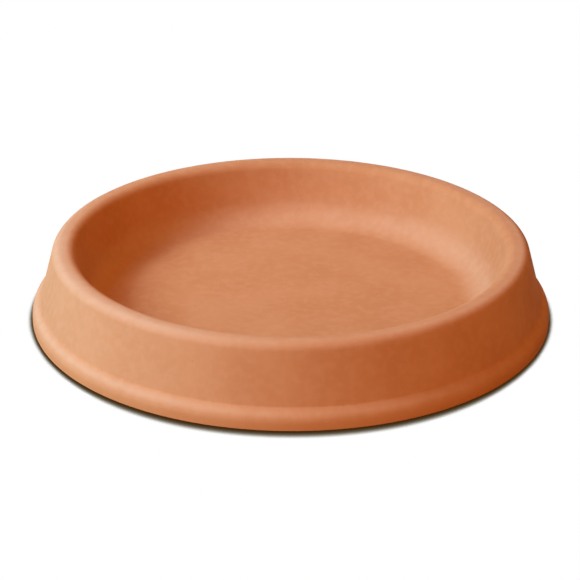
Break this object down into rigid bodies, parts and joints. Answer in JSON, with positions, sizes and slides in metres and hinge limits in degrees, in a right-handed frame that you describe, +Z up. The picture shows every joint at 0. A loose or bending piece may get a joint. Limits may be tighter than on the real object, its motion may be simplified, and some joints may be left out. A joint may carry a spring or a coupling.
{
  "type": "plant saucer",
  "caption": "Round plain clay saucer with an upright foot band, leaning wall, rounded rim and a flat-floored dish that stands under a flower pot and holds its drain water.",
  "frame": {"origin": "centre of the circle that the saucer stands on", "axes": "+Z up along the axis of the round dish, towards its open side; X and Y are alike"},
  "size_m": [0.3, 0.3, 0.0428],
  "materials": {
    "terracotta": "unglazed fired clay, matt and slightly chalky"
  },
  "bodies": {
    "root": {"saucer": "terracotta"}
  },
  "joints": []
}
